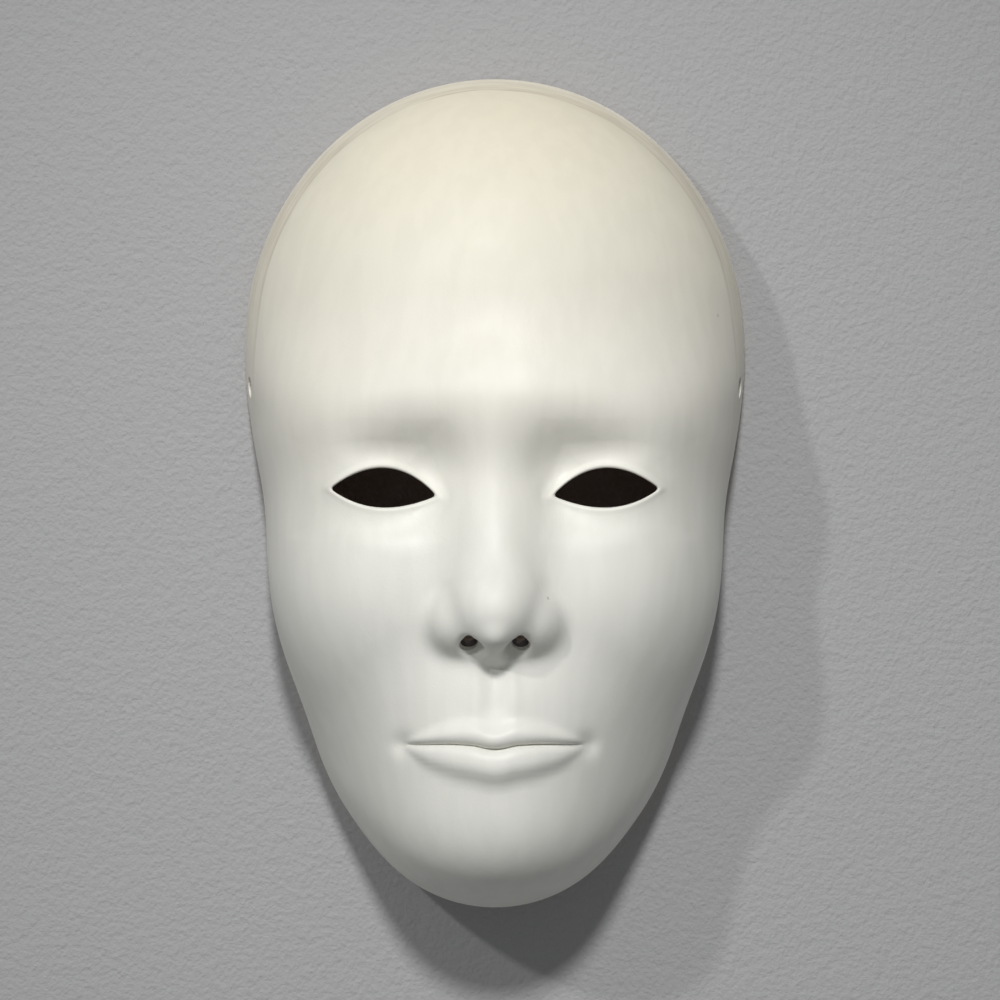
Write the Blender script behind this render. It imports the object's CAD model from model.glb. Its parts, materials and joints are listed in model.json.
import json
import math

import bmesh
import bpy
import numpy as np
from mathutils import Matrix, Vector


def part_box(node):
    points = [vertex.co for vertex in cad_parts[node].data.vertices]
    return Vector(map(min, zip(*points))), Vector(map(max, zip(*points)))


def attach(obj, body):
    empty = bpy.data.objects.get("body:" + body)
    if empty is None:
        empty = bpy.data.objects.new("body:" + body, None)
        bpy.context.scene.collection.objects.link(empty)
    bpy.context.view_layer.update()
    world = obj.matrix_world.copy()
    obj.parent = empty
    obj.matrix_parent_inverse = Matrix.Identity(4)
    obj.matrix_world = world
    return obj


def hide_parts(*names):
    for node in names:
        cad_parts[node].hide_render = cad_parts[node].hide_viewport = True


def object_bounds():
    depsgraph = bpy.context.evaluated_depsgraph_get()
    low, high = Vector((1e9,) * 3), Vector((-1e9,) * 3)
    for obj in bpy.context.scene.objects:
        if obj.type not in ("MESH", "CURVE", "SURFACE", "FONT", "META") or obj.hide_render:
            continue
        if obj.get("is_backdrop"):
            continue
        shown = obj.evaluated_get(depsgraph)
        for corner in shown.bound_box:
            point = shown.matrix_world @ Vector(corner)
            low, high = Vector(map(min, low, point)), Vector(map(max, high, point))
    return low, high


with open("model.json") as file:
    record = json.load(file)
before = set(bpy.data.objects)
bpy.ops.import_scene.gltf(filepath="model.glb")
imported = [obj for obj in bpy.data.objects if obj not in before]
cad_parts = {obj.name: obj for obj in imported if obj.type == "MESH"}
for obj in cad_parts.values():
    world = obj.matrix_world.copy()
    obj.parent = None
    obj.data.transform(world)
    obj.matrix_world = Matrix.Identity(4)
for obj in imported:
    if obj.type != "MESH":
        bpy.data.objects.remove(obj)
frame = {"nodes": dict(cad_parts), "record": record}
cad_low, cad_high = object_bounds()

MM = 0.001


# ---- Viewpoint, wall and light ----
# The mask hangs on a gray painted wall and is seen straight on. The wall's paint is rolled on, so it is
# stippled. A gallery spotlight above throws the strong shadow under the chin, and a weaker one from the
# left throws the pale shadow to the right.
FIELD_WIDTH = 0.2578                # of wall across the frame
LENS = 180
AIM_ACROSS = 0.0013                 # of the view's middle from the mask's
AIM_DOWN = 0.0024
WALL_SIZE = 3.0
WALL_GAP = 0.0004                   # behind the mask's rim
WALL_COLOUR = (0.385, 0.385, 0.388, 1)
ROOM_COLOUR = (0.97, 0.985, 1.0, 1)
ROOM_STRENGTH = 0.21
ROOM_EDGE = 0.1                     # how softly the room's light ends at the wall
BACKDROP_COLOUR = (0.80, 0.80, 0.81, 1)
STIPPLE_SCALE = 950
ROLL_SCALE = 380
STIPPLE_HEIGHT = 0.0006

scene = bpy.context.scene
scene.view_settings.view_transform = "Standard"


def add_object(name, data):
    """A new object of the scene, at the origin."""
    new = bpy.data.objects.new(name, data)
    scene.collection.objects.link(new)
    return new


camera_data = bpy.data.cameras.new("camera")
camera_data.lens = LENS
camera_data.clip_end = 20
camera = add_object("camera", camera_data)
viewing_distance = FIELD_WIDTH * LENS / camera_data.sensor_width
middle = (cad_low + cad_high) / 2
camera.location = (AIM_ACROSS, -viewing_distance, middle.z - AIM_DOWN)
camera.rotation_euler = (math.radians(90), 0, 0)
scene.camera = camera


def node(tree, kind, inputs=None, **settings):
    """A new node in a tree. Each input takes a value, or the socket that feeds it."""
    new = tree.nodes.new(kind)
    for setting, value in settings.items():
        setattr(new, setting, value)
    for name, value in (inputs or {}).items():
        if isinstance(value, bpy.types.NodeSocket):
            tree.links.new(value, new.inputs[name])
        else:
            new.inputs[name].default_value = value
    return new


world = bpy.data.worlds.new("room")
scene.world = world
world.use_nodes = True
air = world.node_tree
air.nodes.clear()
# The room lies in front of the wall, so its light comes from there alone.
direction = node(air, "ShaderNodeTexCoord").outputs["Generated"]
forward = node(air, "ShaderNodeSeparateXYZ", {0: direction}).outputs["Y"]
fade = {"Value": forward, 1: -ROOM_EDGE, 2: ROOM_EDGE, 3: ROOM_STRENGTH, 4: 0.0}
before_wall = node(air, "ShaderNodeMapRange", fade).outputs[0]
room_light = node(air, "ShaderNodeBackground", {"Color": ROOM_COLOUR, "Strength": before_wall})
backdrop = node(air, "ShaderNodeBackground", {"Color": BACKDROP_COLOUR, "Strength": 1.0})
seen = node(air, "ShaderNodeLightPath").outputs["Is Camera Ray"]
either = node(air, "ShaderNodeMixShader", {0: seen, 1: room_light.outputs[0], 2: backdrop.outputs[0]})
node(air, "ShaderNodeOutputWorld", {"Surface": either.outputs[0]})


def spotlight(name, turn, rise, distance, radius, beam, power):
    """A lamp aimed at the mask: turn degrees to the right of the viewer and rise above level."""
    data = bpy.data.lights.new(name, "SPOT")
    data.shadow_soft_size = radius
    data.spot_size = math.radians(beam)
    data.spot_blend = 1.0
    data.energy = power
    turn, rise = math.radians(turn), math.radians(rise)
    away = Vector((math.sin(turn) * math.cos(rise), -math.cos(turn) * math.cos(rise), math.sin(rise)))
    lamp = add_object(name, data)
    lamp.location = middle + away * distance
    lamp.rotation_euler = away.to_track_quat("Z", "Y").to_euler()


spotlight("key", turn=-1, rise=32, distance=2.0, radius=0.12, beam=21, power=114)
spotlight("second", turn=-36, rise=27, distance=2.0, radius=0.05, beam=26, power=32)
spotlight("behind", turn=180, rise=15, distance=1.6, radius=0.5, beam=60, power=40)

wall_mesh = bpy.data.meshes.new("painted_wall")
half = WALL_SIZE / 2
corners = [(-half, 0, -half), (half, 0, -half), (half, 0, half), (-half, 0, half)]
wall_mesh.from_pydata(corners, [], [(0, 1, 2, 3)])
wall_mesh.transform(Matrix.Translation((0, WALL_GAP, middle.z)))
wall = add_object("painted_wall", wall_mesh)
wall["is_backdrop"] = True


def material(name):
    """A new material, its node tree, its object coordinates and its surface."""
    new = bpy.data.materials.new(name)
    new.use_nodes = True
    tree = new.node_tree
    place = node(tree, "ShaderNodeTexCoord").outputs["Object"]
    return new, tree, place, tree.nodes["Principled BSDF"].inputs


def bump(tree, finish, height, strength, distance):
    """Turns a surface's normal by relief that is too fine for the mesh."""
    relief = node(tree, "ShaderNodeBump", {"Height": height, "Strength": strength, "Distance": distance})
    tree.links.new(relief.outputs[0], finish["Normal"])


paint, tree, place, finish = material("wall_paint")
finish["Base Color"].default_value = WALL_COLOUR
finish["Roughness"].default_value = 0.7
finish["Specular IOR Level"].default_value = 0.3
stipple = node(tree, "ShaderNodeTexNoise", {"Vector": place, "Scale": STIPPLE_SCALE, "Detail": 2})
roll = node(tree, "ShaderNodeTexNoise", {"Vector": place, "Scale": ROLL_SCALE, "Detail": 2})
both = node(tree, "ShaderNodeMath", {0: stipple.outputs["Fac"], 1: roll.outputs["Fac"]}, operation="ADD")
bump(tree, finish, both.outputs[0], strength=0.6, distance=STIPPLE_HEIGHT)
# The wall is open from behind, to the eye and to light.
ray = node(tree, "ShaderNodeLightPath").outputs["Is Shadow Ray"]
back_face = node(tree, "ShaderNodeNewGeometry").outputs["Backfacing"]
open_to = node(tree, "ShaderNodeMath", {0: back_face, 1: ray}, operation="MAXIMUM")
clear = node(tree, "ShaderNodeBsdfTransparent")
solid = tree.nodes["Principled BSDF"].outputs[0]
either = node(tree, "ShaderNodeMixShader", {0: open_to.outputs[0], 1: solid, 2: clear.outputs[0]})
tree.links.new(either.outputs[0], tree.nodes["Material Output"].inputs["Surface"])
wall_mesh.materials.append(paint)


# ---- Gofun coat ----
# The white face of the mask: a ground and a coat of powdered shell in glue, brushed over carved wood and
# rubbed down to a satin. It turns in at the eye holes and stops just short of the wall.
# Its form is drawn in millimetres as (across, forward of the wall, above the chin).
MASK_HEIGHT = 212.0
COAT = 1.2                          # thickness
BARE_STRIP = 1.8                    # of wood between coat and wall
RIM_BAND = 21.0                     # from the wall to the faint line round the crown
RUBBED_AWAY = 0.15                  # of the coat, between that line and the wall
MIDDLE_LEVEL = 104.0                # of the point that the rays of a skin start from
MOUTH_LEVEL = 43.0
MOUTH_HALF_WIDTH = 22.5
MOUTH_FADE_ACROSS = 0.62            # how far the rows that follow the mouth reach over the grid
MOUTH_FADE_ALONG = 0.34
MOUTH_ROWS = (-0.9, -0.3)           # between which rows of the grid, from -1 to 1, the mouth line runs
LIPS_TOP = 64.0                     # level below which points may be placed from the front
LIPS_BACK = 28.0                    # and their least depth
EYE_CENTRE = 27.5
EYE_LEVEL = 105.4
EYE_HALF_WIDTH = 13.2
UPPER_LID_RISE = 6.0
LOWER_LID_DROP = 3.8
LID_LEAN = 0.6
EYE_SLANT = 0.9
LID_ROLL = 0.9                      # radius of the lid's edge
GRID = 128                          # cells across a skin, in which the blocks round the eyes are counted
SMOOTH_UP_TO = math.radians(42)     # angle between faces past which an edge stays sharp
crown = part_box("gofun_coat")[1].z


def blend(a, b, width):
    """Union of two forms with a soft join."""
    t = np.clip(1 - np.abs(a - b) / width, 0, None)
    return np.minimum(a, b) - t * t * width / 4


def carve(a, b, width):
    """The first form with the second taken out, with a soft edge."""
    return -blend(-a, b, width)


def egg(points, centre, radii):
    """Ellipsoid."""
    radii = np.array(radii, np.float32)
    q = (points - np.array(centre, np.float32)) / radii
    near = np.sqrt((q * q).sum(-1)) + 1e-6
    steep = np.sqrt(((q / radii) ** 2).sum(-1)) + 1e-6
    return near * (near - 1) / steep


def taper(points, start, end, start_radius, end_radius):
    """Round bar between two points."""
    start = np.array(start, np.float32)
    along = np.array(end, np.float32) - start
    t = np.clip((points - start) @ along / (along @ along), 0, 1)
    return np.linalg.norm(points - start - t[..., None] * along, axis=-1) - (
        start_radius + (end_radius - start_radius) * t
    )


def mirrored(points):
    """The points with the left half turned onto the right half, softly at the middle."""
    across = np.sqrt(points[..., 0] ** 2 + 9.0)
    return np.stack([across, points[..., 1], points[..., 2]], -1)


def hill(t):
    """1 at the middle, 0 from 1 outwards, smooth."""
    return np.clip(1 - t * t, 0, None) ** 2


def ramp(t):
    """0 to 1, smooth at both ends."""
    t = np.clip(t, 0, 1)
    return t * t * (3 - 2 * t)


def head(half):
    """The egg of the whole mask: cranium and jaw."""
    return blend(egg(half, (0, 0, 143), (64.5, 59, 69)), egg(half, (0, 6, 67), (50, 50, 66)), 40)


def eye_gap(across, level):
    """How far a point of the front lies outside the almond of its eye hole; negative inside."""
    u = (np.abs(across) - EYE_CENTRE) / EYE_HALF_WIDTH
    bulge = 1 - u * u
    line = EYE_LEVEL + EYE_SLANT * u
    upper = line + bulge * (UPPER_LID_RISE - LID_LEAN * u)
    lower = line - bulge * (LOWER_LID_DROP + LID_LEAN * u)
    return -blend(upper - level, level - lower, 1.6)


def lids(across, level):
    """How far the lids stand off the eyeball: a soft fold above, a slight one below, a firm edge."""
    u = np.clip((np.abs(across) - EYE_CENTRE) / (EYE_HALF_WIDTH + 3.5), -1, 1)
    bulge = 1 - u * u
    upper_fold = 0.5 * np.exp(-((level - EYE_LEVEL - u - 10.2 * bulge**0.8) / 1.6) ** 2)
    lower_fold = 0.22 * np.exp(-((level - EYE_LEVEL - u + 8.8 * bulge**0.8) / 2.0) ** 2)
    edge = 0.35 * np.exp(-(np.clip(eye_gap(across, level), -1.0, None) / 1.3) ** 2)
    return edge - (upper_fold + lower_fold) * bulge**0.6


def lip_roll(t, crest):
    """Section of a lip: 0 at the mouth line, 1 at its crest, 0 at its border."""
    inner = np.sqrt(np.clip(1 - ((crest - t) / crest) ** 2, 0, 1))
    outer = np.cos(np.pi / 2 * np.clip((t - crest) / (1 - crest), 0, 1)) ** 2
    return np.where(t < crest, inner, outer) * (t > 0)


def mouth_line(across):
    """Level of the line where the lips meet."""
    u = np.clip(np.abs(across) / MOUTH_HALF_WIDTH, 0, 1)
    return MOUTH_LEVEL - 0.7 * hill(across / 6) + 0.4 * np.sin(np.pi * u) ** 2


def lips(across, level):
    """How far the closed lips stand off the muzzle, with the mouth line and its corners sunk in."""
    u = np.clip(np.abs(across) / MOUTH_HALF_WIDTH, 0, 1)
    above = level - mouth_line(across)
    upper_height = 7.0 * (1 - u**2) ** 0.8 * (1 - 0.16 * hill(across / 5)) + 0.6
    lower_height = 10.0 * (1 - u**2.6) ** 0.9 + 0.6
    upper = 1.8 * lip_roll(above / upper_height, 0.40) * (1 - u**2.4) ** 0.8 * (1 + 0.12 * hill(across / 4))
    lower = 2.3 * lip_roll(-above / lower_height, 0.46) * (1 - u**2.2)
    groove = 0.5 * np.exp(-((above / 0.7) ** 2)) * ramp((1.06 - np.abs(across) / MOUTH_HALF_WIDTH) / 0.2)
    corner_across = (np.abs(across) - MOUTH_HALF_WIDTH - 0.4) / 2.6
    corner = 0.9 * np.exp(-(corner_across**2) - ((level - MOUTH_LEVEL) / 2.8) ** 2)
    return np.where(above >= 0, upper, lower) - groove - corner


def philtrum(across, level):
    """Depth of the soft channel between nose and upper lip."""
    channel = 0.8 * np.exp(-((across / (2.4 + 0.04 * (64 - level))) ** 2))
    banks = 0.25 * np.exp(-(((np.abs(across) - 4.6) / 1.7) ** 2))
    return (channel - banks) * ramp((level - 48.5) / 4) * ramp((66 - level) / 5)


def broad_face(points):
    """The outside without lips, lids and philtrum, as a distance: negative inside."""
    half = mirrored(points)
    form = head(half)
    form = blend(form, egg(half, (21, 33.5, 124.5), (27, 23.5, 12)), 24)       # brows
    form = blend(form, egg(points, (0, 47, 121), (13, 11, 11)), 18)            # between the brows
    form = blend(form, egg(half, (29, 28, 82), (21, 29, 25)), 24)              # cheeks
    form = blend(form, egg(points, (0, 33, 48), (24, 27.5, 20)), 18)           # muzzle
    form = blend(form, egg(points, (0, 34, 22.5), (21, 22.5, 15.5)), 24)       # chin
    form = carve(form, egg(half, (19, 71.5, 110.5), (14, 15, 7.5)), 15)        # eye sockets
    form = blend(form, egg(half, (27, 39, 105.5), (16, 15.8, 14.5)), 7)        # eyeballs under their lids
    form = blend(form, taper(points, (0, 50, 118), (0, 64.5, 80), 5.0, 7.5), 14)   # bridge of the nose
    form = blend(form, egg(points, (0, 64.9, 76), (8.5, 10.5, 8.5)), 8)        # its tip
    form = blend(form, egg(half, (10.4, 58.5, 72.8), (5.6, 8.5, 6.2)), 5)      # its wings
    form = blend(form, taper(points, (0, 72, 71), (0, 61, 66.5), 2.4, 3.0), 3)     # its columella
    return carve(form, egg(half, (6.3, 66.0, 67.5), (2.3, 4.2, 3.6)), 2.0)     # mouths of the nostrils


def face(points):
    """The finished outside."""
    front = ramp((points[..., 1] - 38) / 10)
    across, level = points[..., 0], points[..., 2]
    return broad_face(points) + (philtrum(across, level) - lips(across, level) - lids(across, level)) * front


def coat_back(points):
    """Where coat and wood meet. Lips and lids are built up in the coat."""
    return np.maximum(face(points), broad_face(points)) + COAT


def march(form, start, rays, steps=45):
    """Where rays that start inside a form first leave it."""
    reach = np.full(rays.shape[:-1], 4.0, np.float32)
    for _ in range(steps):
        reach -= 0.8 * form(start + rays * reach[..., None])
    return start + rays * reach[..., None]


def front_of(form, across, level, depth=80.0, steps=60):
    """The front of a form at given places of the front view."""
    depth = np.full(across.shape, depth, np.float32)
    for _ in range(steps):
        depth -= 0.7 * form(np.stack([across, depth, level], -1))
    return np.stack([across, depth, level], -1)


def fan(form, depth, u, v):
    """Where rays meet a form. They start from its middle at a depth, and u and v run from -1 to 1."""
    x = u * np.sqrt(1 - v * v / 2)
    y = v * np.sqrt(1 - u * u / 2)
    r = np.maximum(np.hypot(x, y), 1e-6)
    tilt = np.pi / 2 * (0.8 * r + 0.2 * r**3)
    rays = np.stack([np.sin(tilt) * x / r, np.cos(tilt), np.sin(tilt) * y / r], -1)
    return march(form, np.array([0, depth, MIDDLE_LEVEL], np.float32), rays)


def skin(form, depth, cells):
    """A form as a square grid of points, drawn out from its middle to its edge in the plane of that depth."""
    t = np.linspace(-1, 1, cells + 1, dtype=np.float32)
    return fan(form, depth, *np.meshgrid(t, t, indexing="ij"))


def skin_with_mouth(form, depth, cells):
    """The same, with one row of the grid laid along the mouth line and the rows beside it closer together."""
    t = np.linspace(-1, 1, cells + 1, dtype=np.float32)
    low, high = (np.full(cells + 1, row) for row in MOUTH_ROWS)
    for _ in range(16):
        v = (low + high) / 2
        spots = fan(broad_face, depth, t, v)
        below = spots[:, 2] < mouth_line(spots[:, 0])
        low, high = np.where(below, v, low), np.where(below, high, v)
    row = t[np.argmin(np.abs(t - v[cells // 2]))]
    u, v_even = np.meshgrid(t, t, indexing="ij")
    at_mouth = ramp((MOUTH_FADE_ACROSS - np.abs(u)) / 0.27)
    shift = (v - row)[:, None] * at_mouth * hill((v_even - row) / MOUTH_FADE_ALONG)
    closer = 0.5 * (v_even - row) * hill((v_even - row) / 0.14) * at_mouth
    v = v_even + shift - closer
    points = fan(form, depth, u, v)
    # Lips overhang the rays, so round the mouth the points are put on them from the front instead.
    near = (points[..., 2] < LIPS_TOP) & (points[..., 1] > LIPS_BACK)
    broad = fan(broad_face, depth, u[near], v[near])
    share = ramp((LIPS_TOP - 4 - broad[:, 2]) / 8) * ramp((broad[:, 1] - LIPS_BACK - 2) / 8)
    place = points[near] + (broad - points[near]) * share[:, None]
    points[near] = np.where(share[:, None] > 0, front_of(form, place[:, 0], place[:, 2]), points[near])
    return points


def border(grid):
    """The outermost row of a grid, as a loop."""
    return np.concatenate([grid[:-1, 0], grid[-1, :-1], grid[:0:-1, -1], grid[0, :0:-1]])


def eye_ring(block, gap):
    """Front places at one gap from the almond, on the lines from its middle to a block's border."""
    middle = np.array([np.sign(block[:, 0].mean()) * EYE_CENTRE, EYE_LEVEL])
    spread = block[:, [0, 2]] - middle
    low, high = np.zeros(len(block)), np.ones(len(block))
    for _ in range(24):
        at = (low + high) / 2
        place = middle + spread * at[:, None]
        within = eye_gap(place[:, 0], place[:, 1]) < gap
        low = np.where(within, at, low)
        high = np.where(within, high, at)
    return middle + spread * low[:, None]


def ring_on(form, block, gap):
    """The loop on a form at one gap from the almond."""
    return front_of(form, *eye_ring(block, gap).T)


def across_block(form, block, gap, shares):
    """Loops on a form between a block's border and the ring at a gap from the almond."""
    ring = eye_ring(block, gap)
    spread = block[:, [0, 2]] - ring
    return [front_of(form, *(ring + spread * share).T) for share in shares]


class Shell:
    """A closed mesh in the making, from grids and loops of points in millimetres."""

    def __init__(self):
        self.points = []
        self.faces = []
        self.count = 0

    def add(self, points):
        """Takes points in and gives their numbers."""
        numbers = self.count + np.arange(points[..., 0].size).reshape(points.shape[:-1])
        self.points.append(points.reshape(-1, 3))
        self.count += numbers.size
        return numbers

    def at(self, numbers):
        """The points with those numbers."""
        return np.concatenate(self.points)[numbers]

    def grid(self, points, blocks):
        """A skin without the blocks round its eyes. Gives its rim and the loop round each block."""
        cells = len(points) - 1
        numbers = self.add(points)
        keep = np.ones((cells, cells), bool)
        loops = []
        for block in blocks:
            left, right, low, high = (n * cells // GRID for n in block)
            keep[left:right, low:high] = False
            loops.append(border(numbers[left : right + 1, low : high + 1]))
        corners = (numbers[:-1, :-1], numbers[1:, :-1], numbers[1:, 1:], numbers[:-1, 1:])
        self.faces += np.stack([corner[keep] for corner in corners], -1).tolist()
        return border(numbers), loops

    def band(self, a, b):
        """Closes the band between two loops; the second has as many points as the first or half as many."""
        next_b = np.roll(b, -1)
        if len(a) == len(b):
            self.faces += np.stack([a, np.roll(a, -1), next_b, b], -1).tolist()
            return
        first, second, third = a[::2], a[1::2], np.roll(a, -2)[::2]
        for corners in ((first, second, b), (second, next_b, b), (second, third, next_b)):
            self.faces += np.stack(corners, -1).tolist()

    def bands(self, start, loops):
        """Adds loops of points one after the other and closes the bands between them. Gives the last."""
        for loop in loops:
            numbers = self.add(loop)
            self.band(start, numbers)
            start = numbers
        return start

    def piece(self, name):
        """The finished mesh as an object, in metres, with its faces outwards."""
        points = np.concatenate(self.points)
        used = np.zeros(self.count, bool)
        for corner in self.faces:
            used[corner] = True
        numbers = np.cumsum(used) - 1
        place = np.stack([points[:, 0], -points[:, 1], points[:, 2] - MASK_HEIGHT], -1)[used] * MM
        place[:, 2] += crown
        mesh = bpy.data.meshes.new(name)
        mesh.from_pydata(place.tolist(), [], [[int(numbers[n]) for n in corner] for corner in self.faces])
        outward = bmesh.new()
        outward.from_mesh(mesh)
        bmesh.ops.recalc_face_normals(outward, faces=outward.faces)
        outward.to_mesh(mesh)
        outward.free()
        return add_object(name, mesh)


def towards_middle(loop, inset, depth):
    """A rim loop moved in towards the middle of the mask and to a depth from the wall."""
    spread = loop[:, [0, 2]] - (0, MIDDLE_LEVEL)
    spread = spread * (1 - inset / np.linalg.norm(spread, axis=1))[:, None]
    return np.stack([spread[:, 0], np.broadcast_to(depth, len(loop)), spread[:, 1] + MIDDLE_LEVEL], -1)


def brushed_edge(points):
    """The coat's edge wanders a little along the rim, where the brush left it."""
    angle = np.arctan2(points[..., 2] - MIDDLE_LEVEL, points[..., 0])
    wave = 0.25 * np.sin(5 * angle + 1.0) + 0.16 * np.sin(13 * angle + 2.3) + 0.10 * np.sin(37 * angle)
    near_rim = np.clip(1 - (points[..., 1] - BARE_STRIP) / 5, 0, 1) ** 2
    points[..., 1] += wave * near_rim
    return points


def coat_front(points):
    """The face, with the coat rubbed a little thinner in a band along the crown's rim."""
    band = ramp((RIM_BAND - points[..., 1]) / 1.4) * ramp((points[..., 2] - 120) / 40)
    return face(points) + RUBBED_AWAY * band


COAT_BLOCKS = ((73, 107, 55, 79), (21, 55, 55, 79))     # columns and rows round each eye
BLOCK_SHARES = (0.25, 0.5, 0.75)     # of the way from the ring to the block
LID_GAPS = (2.4, 1.8, 1.3, 0.9, 0.6, 0.35, 0.15, 0.0)   # of the rings on the lid, from the almond
TURNED_IN = ((0.0, 1.5), (0.1, 2.4), (0.5, 3.4), (1.0, 3.3), (1.0, 1.5))     # gap, and depth behind the lid
COAT_BACK_GAPS = (1.6, 2.4)
ROLLED_IN = 0.35                    # how far the coat's outer edge rounds towards the middle
ROLLED_DOWN = 0.22                  # and towards the wall

coat_making = Shell()
front = brushed_edge(skin_with_mouth(coat_front, BARE_STRIP, 2 * GRID))
back = brushed_edge(skin(coat_back, BARE_STRIP, GRID))
front_rim, front_blocks = coat_making.grid(front, COAT_BLOCKS)
back_rim, back_blocks = coat_making.grid(back, COAT_BLOCKS)
edge = border(front)
rolled = towards_middle(edge, ROLLED_IN, edge[:, 1] - ROLLED_DOWN)
coat_making.band(coat_making.bands(front_rim, [rolled]), back_rim)
for front_loop, back_loop in zip(front_blocks, back_blocks):
    outer, inner = coat_making.at(front_loop), coat_making.at(back_loop)
    loops = across_block(coat_front, outer, LID_GAPS[0], BLOCK_SHARES[::-1])
    for gap in LID_GAPS:
        loop = ring_on(coat_front, outer, gap)
        short = np.clip(LID_ROLL - gap, 0, None)
        loop[:, 1] -= LID_ROLL - np.sqrt(LID_ROLL**2 - short**2)
        loops.append(loop)
    lid_depth = loops[-1][:, 1] + LID_ROLL
    for gap, behind in TURNED_IN:
        place = eye_ring(outer, gap)
        loops.append(np.stack([place[:, 0], lid_depth - behind, place[:, 1]], -1))
    turned = coat_making.bands(front_loop, loops)
    loops = [ring_on(coat_back, inner, gap) for gap in COAT_BACK_GAPS]
    loops += across_block(coat_back, inner, COAT_BACK_GAPS[-1], BLOCK_SHARES)
    coat_making.band(coat_making.bands(turned, loops), back_loop)
gofun_coat = coat_making.piece("gofun_coat_finish")


BORE_SIDES = 48
BORE_MOUTH = ((-1.0, 0), (-0.4, 0.1), (0.0, 0.4), (0.5, 1.2), (4.0, 4.0))    # past the surface, times the flare


def bore(start, direction, radius, flare, surface, name):
    """Cutter of a round bore that runs from inside the mask out through a form, with a flared mouth."""
    direction = np.array(direction) / np.linalg.norm(direction)
    mouth = march(surface, np.array(start, np.float32), direction[None].astype(np.float32))[0]
    length = np.linalg.norm(mouth - start)
    rings = [(0, 0)] + [(length + past, times * flare) for past, times in BORE_MOUTH]
    cutter = bmesh.new()
    turn = Vector((direction[0], -direction[1], direction[2])).to_track_quat("Z", "Y").to_matrix().to_4x4()
    loops = []
    for along, wider in rings:
        points = [
            turn @ Vector(((radius + wider) * math.cos(a), (radius + wider) * math.sin(a), along))
            for a in np.linspace(0, 2 * math.pi, BORE_SIDES, endpoint=False)
        ]
        base = Vector((start[0], -start[1], start[2] - MASK_HEIGHT))
        loops.append([cutter.verts.new((base + point) * MM + Vector((0, 0, crown))) for point in points])
    for low, high in zip(loops, loops[1:]):
        for a, b, c, d in zip(low, low[1:] + low[:1], high[1:] + high[:1], high):
            cutter.faces.new((a, b, c, d))
    cutter.faces.new(loops[0][::-1])
    cutter.faces.new(loops[-1])
    bmesh.ops.recalc_face_normals(cutter, faces=cutter.faces)
    mesh = bpy.data.meshes.new(name)
    cutter.to_mesh(mesh)
    cutter.free()
    # The lacquer runs into the bores, so the walls that a cutter leaves carry its mark.
    lacquered = mesh.attributes.new("lacquered", "FLOAT", "POINT")
    lacquered.data.foreach_set("value", [1.0] * len(mesh.vertices))
    return add_object(name, mesh)


def apply_modifiers(piece):
    """Makes what a piece's modifiers give its plain mesh."""
    finished = bpy.data.meshes.new_from_object(piece.evaluated_get(bpy.context.evaluated_depsgraph_get()))
    piece.modifiers.clear()
    piece.data = finished


def cut(piece, tools):
    """Cuts tools out of a piece and clears them away."""
    for tool in tools:
        modifier = piece.modifiers.new(tool.name, "BOOLEAN")
        modifier.operation = "DIFFERENCE"
        modifier.solver = "MANIFOLD"
        modifier.object = tool
    apply_modifiers(piece)
    for tool in tools:
        bpy.data.objects.remove(tool)
    piece.data.shade_smooth()
    piece.data.set_sharp_from_angle(angle=SMOOTH_UP_TO)


CORD_HOLE_RADIUS = 2.5
CORD_HOLE_FLARE = 0.5
CORD_BORE_START = 12                # inwards from the hole's mouth
NOSTRIL_RADIUS = 2.1
NOSTRIL_FLARE = 0.1
NOSTRIL_ACROSS = 6.3
NOSTRIL_START = (48.0, 74.0)        # forward and level
NOSTRIL_LEAN = (0.94, -0.342)       # forwards and 20 degrees down
holes = {mount["name"]: mount for mount in frame["record"]["mounts"] if mount["kind"] == "bore"}


def bores(surface):
    """Cutters of the two cord holes and the two nostrils through a form."""
    tools = []
    for side in (-1, 1):
        mount = holes["cord_hole_left" if side < 0 else "cord_hole_right"]
        outward = np.array(mount["axis"]) * (1, -1, 1)
        at = np.array([mount["pos_m"][0], -mount["pos_m"][1], mount["pos_m"][2] - crown]) / MM
        at[2] += MASK_HEIGHT
        start = at - outward * CORD_BORE_START
        tools.append(bore(start, outward, CORD_HOLE_RADIUS, CORD_HOLE_FLARE, surface, f"cord_bore_{side}"))
        start = (side * NOSTRIL_ACROSS, *NOSTRIL_START)
        forwards = (0, *NOSTRIL_LEAN)
        tools.append(bore(start, forwards, NOSTRIL_RADIUS, NOSTRIL_FLARE, surface, f"nostril_bore_{side}"))
    return tools


cut(gofun_coat, bores(coat_front))

# Unevenness that every finish has: soft patches over the object, from a low value to a high one.
unevenness = bpy.data.node_groups.new("unevenness", "ShaderNodeTree")
for name, kind in (("Scale", "Float"), ("Stretch", "Vector"), ("Low", "Float"), ("High", "Float")):
    unevenness.interface.new_socket(name, in_out="INPUT", socket_type="NodeSocket" + kind)
unevenness.interface.new_socket("Value", in_out="OUTPUT", socket_type="NodeSocketFloat")
given = node(unevenness, "NodeGroupInput").outputs
place = node(unevenness, "ShaderNodeTexCoord").outputs["Object"]
stretched = node(unevenness, "ShaderNodeVectorMath", {0: place, 1: given["Stretch"]}, operation="MULTIPLY")
patches = {"Vector": stretched.outputs[0], "Scale": given["Scale"], "Detail": 4}
noise = node(unevenness, "ShaderNodeTexNoise", patches)
spread = node(
    unevenness,
    "ShaderNodeMapRange",
    {"Value": noise.outputs["Fac"], 1: 0.35, 2: 0.65, 3: given["Low"], 4: given["High"]},
    interpolation_type="SMOOTHSTEP",
)
node(unevenness, "NodeGroupOutput", {"Value": spread.outputs[0]})


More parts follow.
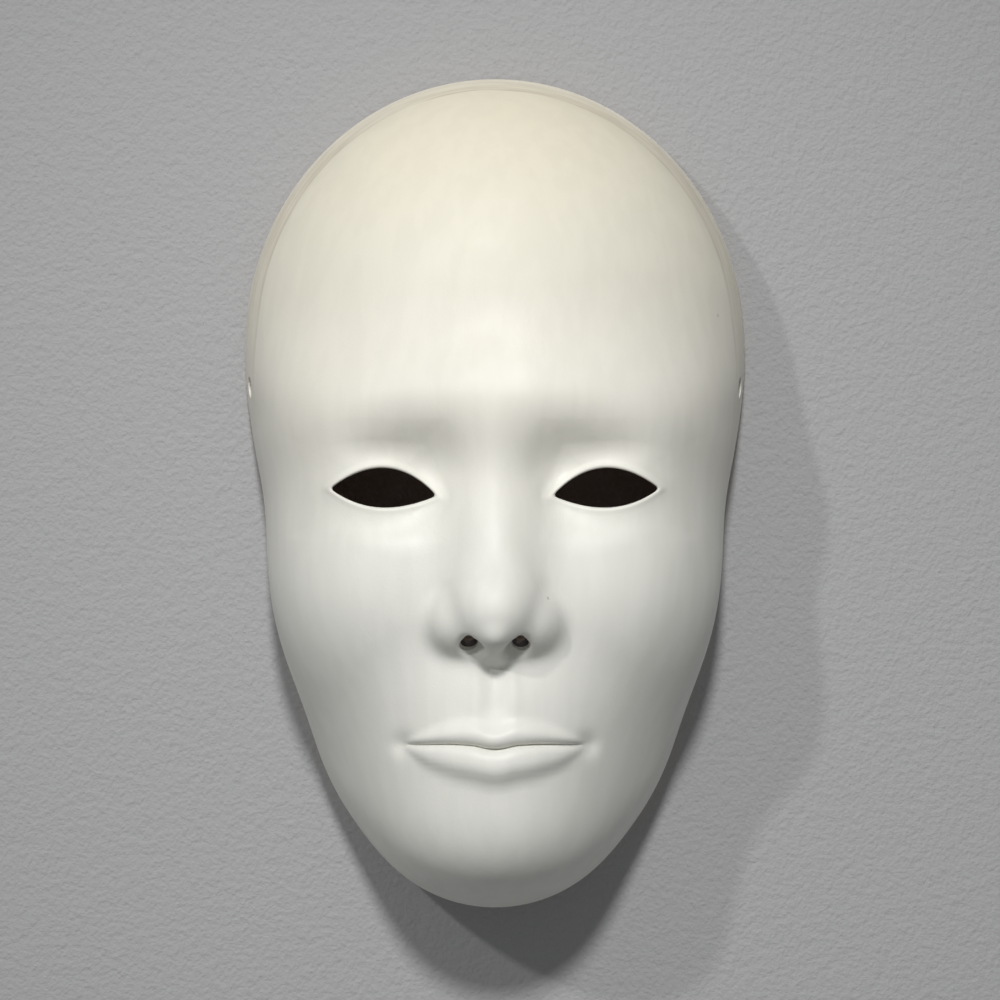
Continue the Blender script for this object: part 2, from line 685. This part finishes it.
def uneven(tree, scale, low, high, stretch=(1, 1, 1)):
    """The unevenness group in a material, with its own values."""
    inputs = {"Scale": scale, "Stretch": stretch, "Low": low, "High": high}
    return node(tree, "ShaderNodeGroup", inputs, node_tree=unevenness).outputs["Value"]


def remap(tree, value, low, high, to_low=0.0, to_high=1.0):
    """A value remapped softly from one range to another."""
    inputs = {"Value": value, 1: low, 2: high, 3: to_low, 4: to_high}
    return node(tree, "ShaderNodeMapRange", inputs, interpolation_type="SMOOTHSTEP").outputs[0]


def maths(tree, operation, a, b):
    """One step of arithmetic on two values."""
    return node(tree, "ShaderNodeMath", {0: a, 1: b}, operation=operation).outputs[0]


def mixed(tree, share, a, b, blend_type="MIX"):
    """Two colours mixed."""
    inputs = {"Fac": share, "Color1": a, "Color2": b}
    return node(tree, "ShaderNodeMixRGB", inputs, blend_type=blend_type).outputs[0]


def finish_with(piece, surface):
    """Gives a piece one material, in place of any it has."""
    piece.data.materials.clear()
    piece.data.materials.append(surface)


FACE_WHITE = (0.79, 0.785, 0.73, 1)
CROWN_CREAM = (0.79, 0.735, 0.575, 1)
RIM_TAN = (0.60, 0.53, 0.41, 1)
RIM_BROWN = (0.42, 0.34, 0.24, 1)
PINHOLE_SHADE = (0.35, 0.30, 0.22, 1)
CREAM_FROM, CREAM_TO = -0.15, 0.03  # level from the crown, where white turns to cream
BAND_FROM, BAND_TO = -0.10, -0.02   # level from the crown, where the rim's band comes in
LINE_WIDTH = 0.0007
LINE_WANDER = 0.0004
white, tree, place, finish = material("gofun_white")
axes = node(tree, "ShaderNodeSeparateXYZ", {0: place}).outputs
height = remap(tree, axes["Z"], crown + CREAM_FROM, crown + CREAM_TO)
warmth = maths(tree, "ADD", height, uneven(tree, 16, -0.05, 0.05))
colour = mixed(tree, warmth, FACE_WHITE, CROWN_CREAM)
# Along the crown's rim the coat is browner, in streaks that follow the rim, up to a faint darker line.
from_line = maths(tree, "ADD", axes["Y"], RIM_BAND * MM - LINE_WIDTH)
from_line = maths(tree, "ADD", from_line, uneven(tree, 30, -LINE_WANDER, LINE_WANDER))
in_band = remap(tree, from_line, -0.0004, 0.0006)
on_line = remap(tree, maths(tree, "ABSOLUTE", from_line, 0.0), 0.0001, LINE_WIDTH, 1, 0)
on_crown = remap(tree, axes["Z"], crown + BAND_FROM, crown + BAND_TO)
streaks = uneven(tree, 800, 0.15, 0.6, (0.08, 1, 0.08))
for part, shade in ((in_band, RIM_TAN), (on_line, RIM_BROWN)):
    streaked = maths(tree, "MULTIPLY", maths(tree, "MULTIPLY", part, streaks), on_crown)
    colour = mixed(tree, streaked, colour, shade)
# Brush strokes run down the face, and a few pinholes are left where air sat in the coat.
strokes = uneven(tree, 240, 0.0, 1.0, (1, 1, 0.22))
grain = uneven(tree, 1500, 0.0, 1.0)
tint = remap(tree, strokes, 0, 1, 0.975, 1.0)
colour = mixed(tree, 1.0, colour, tint, "MULTIPLY")
cells = node(tree, "ShaderNodeTexVoronoi", {"Vector": place, "Scale": 70.0})
chosen = node(tree, "ShaderNodeSeparateXYZ", {0: cells.outputs["Color"]}).outputs["X"]
dot = remap(tree, cells.outputs["Distance"], 0.018, 0.040, 1, 0)
pinhole = maths(tree, "MULTIPLY", dot, maths(tree, "GREATER_THAN", chosen, 0.86))
colour = mixed(tree, maths(tree, "MULTIPLY", pinhole, 0.45), colour, PINHOLE_SHADE)
tree.links.new(colour, finish["Base Color"])
tree.links.new(uneven(tree, 45, 0.44, 0.56), finish["Roughness"])
finish["Specular IOR Level"].default_value = 0.40
relief = maths(tree, "ADD", maths(tree, "MULTIPLY", strokes, 0.5), maths(tree, "MULTIPLY", grain, 0.18))
relief = maths(tree, "SUBTRACT", relief, maths(tree, "MULTIPLY", pinhole, 2.0))
bump(tree, finish, relief, strength=0.35, distance=0.00012)
finish_with(gofun_coat, white)
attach(gofun_coat, "mask")
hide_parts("gofun_coat")


# ---- Carved wood ----
# One block of hinoki cypress, sawn flat behind and hollowed with a gouge. Its hollow is brushed with thin
# dark lacquer, and its rim is left bare. A lug in the crown is cut out for the hanger.
SCOOP_ACROSS = 9.0
SCOOP_ALONG = 16.0
SCOOP_DEPTH = 0.45
WALL_THICKNESS = 8.0                # of the wood, on the whole
WOOD_GAP = 0.04                     # of glue, between coat and wood
WOOD_BLOCKS = ((73, 117, 51, 84), (11, 55, 51, 84))
HOLLOW_GAPS = (4.6, 4.0, 3.7)       # of the rings on the hollow, from the almond
THROUGH_WALL = ((3.3, 0.06), (2.6, 0.35), (1.7, 0.7), (1.0, 0.95))  # gap, and share of the way forward
WOOD_FRONT_GAPS = (1.2, 2.2)
OUTER_CHAMFER = ((0.12, 0.12), (0.4, 0.0))      # inset and depth of the rim's rounded outer corner
INNER_CHAMFER = ((-0.12, 0.14), (-0.5, 0.0))
LACQUER_GAP = 4.8                   # how far round an eye hole its wall and the lacquer in it reach


def wood_front(points):
    """The carved front under the coat."""
    return coat_back(points) + WOOD_GAP


def hollow(points):
    """The hollow behind the face: plainer than the face, with a lug left in the crown."""
    half = mirrored(points)
    form = blend(head(half), egg(half, (24, 30, 82), (26, 27, 34)), 30)
    form = blend(form, egg(points, (0, 32, 23), (20, 21, 14)), 26)
    form = blend(form, taper(points, (0, 46, 112), (0, 58, 80), 6.0, 7.5), 26)
    form = carve(form, egg(half, (17, 68, 109), (15, 16, 11)), 24)
    return carve(form + COAT + WALL_THICKNESS, egg(points, (0, 8, 197), (28, 20, 29)), 18)


wood_making = Shell()
outside = skin(wood_front, 0.4, GRID)
inside = skin(hollow, 0.5, 2 * GRID)
outside_rim, outside_blocks = wood_making.grid(outside, WOOD_BLOCKS)
inside_rim, inside_blocks = wood_making.grid(inside, WOOD_BLOCKS)
edge = border(outside)
outer_rim = wood_making.bands(outside_rim, [towards_middle(edge, *corner) for corner in OUTER_CHAMFER])
edge = border(inside)
inner_rim = wood_making.bands(inside_rim, [towards_middle(edge, *corner) for corner in INNER_CHAMFER])
wood_making.band(inner_rim, outer_rim)
for outside_loop, inside_loop in zip(outside_blocks, inside_blocks):
    outer, inner = wood_making.at(outside_loop), wood_making.at(inside_loop)
    loops = across_block(hollow, inner, HOLLOW_GAPS[0], BLOCK_SHARES[::-1])
    loops += [ring_on(hollow, inner, gap) for gap in HOLLOW_GAPS]
    back_depth = loops[-1][:, 1]
    for gap, share in THROUGH_WALL:
        loop = ring_on(wood_front, inner, gap)
        loop[:, 1] = back_depth + (loop[:, 1] - back_depth) * share
        loops.append(loop)
    wall_end = wood_making.bands(inside_loop, loops)
    loops = [ring_on(wood_front, outer, gap) for gap in WOOD_FRONT_GAPS]
    loops += across_block(wood_front, outer, WOOD_FRONT_GAPS[-1], BLOCK_SHARES)
    wood_making.band(wood_making.bands(wall_end, loops), outside_loop)
carved_wood = wood_making.piece("carved_wood")

# The hollow is gouged and lacquered, up to a brush line that wanders just inside the bare rim.
spots = np.empty(len(carved_wood.data.vertices) * 3, np.float32)
carved_wood.data.vertices.foreach_get("co", spots)
spots = spots.reshape(-1, 3) * (1, -1, 1) / MM + (0, 0, MASK_HEIGHT - crown / MM)
gap = eye_gap(spots[:, 0], spots[:, 2])
on_hollow = 1 - ramp(np.abs(hollow(spots)) / 0.6)
in_eye_hole = ramp((LACQUER_GAP - gap) / 0.4) * ramp((spots[:, 1] - 12) / 4)
angle = np.arctan2(spots[:, 2] - MIDDLE_LEVEL, spots[:, 0])
brush_line = 1.6 + 0.5 * np.sin(4 * angle + 0.7) + 0.3 * np.sin(11 * angle + 2.0)
marks = {
    "gouged": on_hollow * ramp((spots[:, 1] - 0.8) / 5) * ramp((gap - LACQUER_GAP) / 3),
    "lacquered": np.maximum(on_hollow, in_eye_hole) * ramp((spots[:, 1] - brush_line) / 0.8),
}
for mark, amount in marks.items():
    attribute = carved_wood.data.attributes.new(mark, "FLOAT", "POINT")
    attribute.data.foreach_set("value", amount.astype(np.float32))

# The marks of the gouge: long overlapping scoops, one to a cell of a stretched Voronoi pattern.
gouging = bpy.data.node_groups.new("gouge_marks", "GeometryNodeTree")
for name, kind, value in (
    ("Geometry", "NodeSocketGeometry", None),
    ("Scoop Across", "NodeSocketFloat", SCOOP_ACROSS * MM),
    ("Scoop Along", "NodeSocketFloat", SCOOP_ALONG * MM),
    ("Scoop Depth", "NodeSocketFloat", SCOOP_DEPTH * MM),
    ("Material", "NodeSocketMaterial", None),
):
    socket = gouging.interface.new_socket(name, in_out="INPUT", socket_type=kind)
    if value is not None:
        socket.default_value = value
gouging.interface.new_socket("Geometry", in_out="OUTPUT", socket_type="NodeSocketGeometry")
given = node(gouging, "NodeGroupInput").outputs
across = given["Scoop Across"]
cell = node(gouging, "ShaderNodeCombineXYZ", {"X": across, "Y": across, "Z": given["Scoop Along"]})
place = node(gouging, "GeometryNodeInputPosition")
in_cells = node(gouging, "ShaderNodeVectorMath", {0: place.outputs[0], 1: cell.outputs[0]}, operation="DIVIDE")
cells = node(gouging, "ShaderNodeTexVoronoi", {"Vector": in_cells.outputs[0], "Scale": 1.0, "Randomness": 0.8})
bowl = maths(gouging, "POWER", cells.outputs["Distance"], 2.0)
dip = node(gouging, "ShaderNodeMapRange", {"Value": bowl, 1: 0.0, 2: 0.55, 3: -1.0, 4: 0.0}).outputs[0]
where = node(gouging, "GeometryNodeInputNamedAttribute", {"Name": "gouged"}).outputs["Attribute"]
deep = maths(gouging, "MULTIPLY", maths(gouging, "MULTIPLY", dip, where), given["Scoop Depth"])
normal = node(gouging, "GeometryNodeInputNormal").outputs[0]
move = node(gouging, "ShaderNodeVectorMath", {0: normal, "Scale": deep}, operation="SCALE").outputs[0]
shape = node(gouging, "GeometryNodeSetPosition", {"Geometry": given["Geometry"], "Offset": move})
made_real = node(gouging, "GeometryNodeRealizeInstances", {"Geometry": shape.outputs[0]})
inputs = {"Geometry": made_real.outputs[0], "Material": given["Material"]}
painted = node(gouging, "GeometryNodeSetMaterial", inputs)
node(gouging, "NodeGroupOutput", {"Geometry": painted.outputs[0]})

HINOKI = (0.60, 0.43, 0.25, 1)
HINOKI_DARK = (0.44, 0.28, 0.14, 1)
LACQUER = (0.050, 0.021, 0.011, 1)
LACQUER_THIN = (0.105, 0.045, 0.020, 1)
wood, tree, place, finish = material("hinoki_and_lacquer")
rings = node(
    tree,
    "ShaderNodeTexWave",
    {"Vector": place, "Scale": 130.0, "Distortion": 2.2, "Detail": 2.0, "Detail Scale": 0.6},
    bands_direction="Y",
)
fibres = uneven(tree, 900, 0.0, 1.0, (1, 1, 0.03))
bare = mixed(tree, rings.outputs["Fac"], HINOKI, HINOKI_DARK)
bare = mixed(tree, maths(tree, "MULTIPLY", fibres, 0.35), bare, HINOKI_DARK)
coated = mixed(tree, uneven(tree, 55, 0.0, 1.0, (1, 1, 0.6)), LACQUER, LACQUER_THIN)
lacquered = node(tree, "ShaderNodeAttribute", attribute_name="lacquered").outputs["Fac"]
covered = remap(tree, maths(tree, "ADD", lacquered, uneven(tree, 500, -0.2, 0.2)), 0.35, 0.65)
tree.links.new(mixed(tree, covered, bare, coated), finish["Base Color"])
gloss = uneven(tree, 70, 0.26, 0.42)
dull = uneven(tree, 120, 0.58, 0.72)
roughness = node(tree, "ShaderNodeMix", {0: covered, 2: dull, 3: gloss}).outputs[0]
tree.links.new(roughness, finish["Roughness"])
ridged = maths(tree, "MULTIPLY", fibres, remap(tree, covered, 0, 1, 1.0, 0.25))
bump(tree, finish, ridged, strength=0.4, distance=0.0001)

gouge = carved_wood.modifiers.new("gouge_marks", "NODES")
gouge.node_group = gouging
for socket in gouging.interface.items_tree:
    if socket.name == "Material":
        gouge[socket.identifier] = wood
apply_modifiers(carved_wood)

RELIEF_HALF_WIDTH = 0.011
RELIEF_TOP = 0.0063                 # above the nail
RELIEF_DEPTH = 0.0052
RELIEF_CORNER = 0.0055
RELIEF_REACH = 0.055                # down into the hollow
RELIEF_BEHIND = 0.005               # how far its cutter stands out behind
outline = [(-RELIEF_HALF_WIDTH, -RELIEF_REACH), (RELIEF_HALF_WIDTH, -RELIEF_REACH)]
for side, first in ((1, 0), (-1, 90)):
    for a in np.radians(np.linspace(first, first + 90, 13)):
        corner_x = side * (RELIEF_HALF_WIDTH - RELIEF_CORNER)
        corner_z = RELIEF_TOP - RELIEF_CORNER
        outline.append((corner_x + RELIEF_CORNER * math.cos(a), corner_z + RELIEF_CORNER * math.sin(a)))
relief_mesh = bpy.data.meshes.new("hanger_relief")
count = len(outline)
relief_mesh.from_pydata(
    [(x, y, z) for y in (-RELIEF_DEPTH, RELIEF_BEHIND) for x, z in outline],
    [],
    [list(range(count)), list(range(2 * count - 1, count - 1, -1))]
    + [(n, n + count, (n + 1) % count + count, (n + 1) % count) for n in range(count)],
)
cut(carved_wood, bores(wood_front) + [add_object("hanger_relief", relief_mesh)])
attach(carved_wood, "mask")
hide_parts("wood_shell")


# ---- Ring hanger ----
# A strap of thin brass sheet folded round a wire ring, and the slotted brass screw that holds it in its
# relief. Brass dulls brown where it isn't handled.
BRASS = (0.62, 0.43, 0.17, 1)
BRASS_DULL = (0.36, 0.23, 0.09, 1)
brass, tree, place, finish = material("dull_brass")
tarnish = uneven(tree, 260, 0.0, 1.0)
tree.links.new(mixed(tree, tarnish, BRASS, BRASS_DULL), finish["Base Color"])
finish["Metallic"].default_value = 1.0
tree.links.new(uneven(tree, 420, 0.30, 0.52), finish["Roughness"])
bump(tree, finish, uneven(tree, 2600, 0, 1), strength=0.2, distance=0.00004)
for name in ("hanger_strap", "hanger_ring"):
    finish_with(frame["nodes"][name], brass)

HEAD_HEIGHT = 0.0013
SHANK_RADIUS = 0.0012
SLOT_WIDTH = 0.0006
SLOT_DEPTH = 0.0007
SLOT_TURN = math.radians(24)
POINT_LENGTH = 0.0024
TURNED_SIDES = 48
low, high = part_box("hanger_screw")
head_radius = (high.x - low.x) / 2
ball = (head_radius**2 + HEAD_HEIGHT**2) / (2 * HEAD_HEIGHT)       # radius of the head's curve
head_back = high.y - HEAD_HEIGHT
profile = [(0.0, low.y), (SHANK_RADIUS, low.y + POINT_LENGTH)]
profile += [(SHANK_RADIUS, head_back), (head_radius, head_back)]
for a in np.linspace(math.asin(head_radius / ball), 0, 9)[1:]:
    profile.append((ball * math.sin(a), high.y - ball * (1 - math.cos(a))))
turned = bmesh.new()
centre = Vector(((low.x + high.x) / 2, 0, (low.z + high.z) / 2))
line = [turned.verts.new(centre + Vector((radius, y, 0))) for radius, y in profile]
edges = [turned.edges.new(pair) for pair in zip(line, line[1:])]
bmesh.ops.spin(turned, geom=line + edges, cent=centre, axis=(0, 1, 0), angle=2 * math.pi, steps=TURNED_SIDES)
bmesh.ops.remove_doubles(turned, verts=turned.verts, dist=1e-6)
bmesh.ops.recalc_face_normals(turned, faces=turned.faces)
screw_mesh = bpy.data.meshes.new("slotted_screw")
turned.to_mesh(screw_mesh)
turned.free()
screw = add_object("slotted_screw", screw_mesh)

slot_mesh = bpy.data.meshes.new("screw_slot")
slot = bmesh.new()
bmesh.ops.create_cube(slot, size=1.0)
turn = Matrix.Rotation(SLOT_TURN, 4, "Y")
size = Matrix.Diagonal((3 * head_radius, 2 * SLOT_DEPTH, SLOT_WIDTH, 1))
place = Matrix.Translation((centre.x, high.y, centre.z))
bmesh.ops.transform(slot, matrix=place @ turn @ size, verts=slot.verts)
slot.to_mesh(slot_mesh)
slot.free()
cut(screw, [add_object("screw_slot", slot_mesh)])
finish_with(screw, brass)
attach(screw, "mask")
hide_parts("hanger_screw")


# ---- Size, kept beside the construction model's ----
low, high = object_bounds()
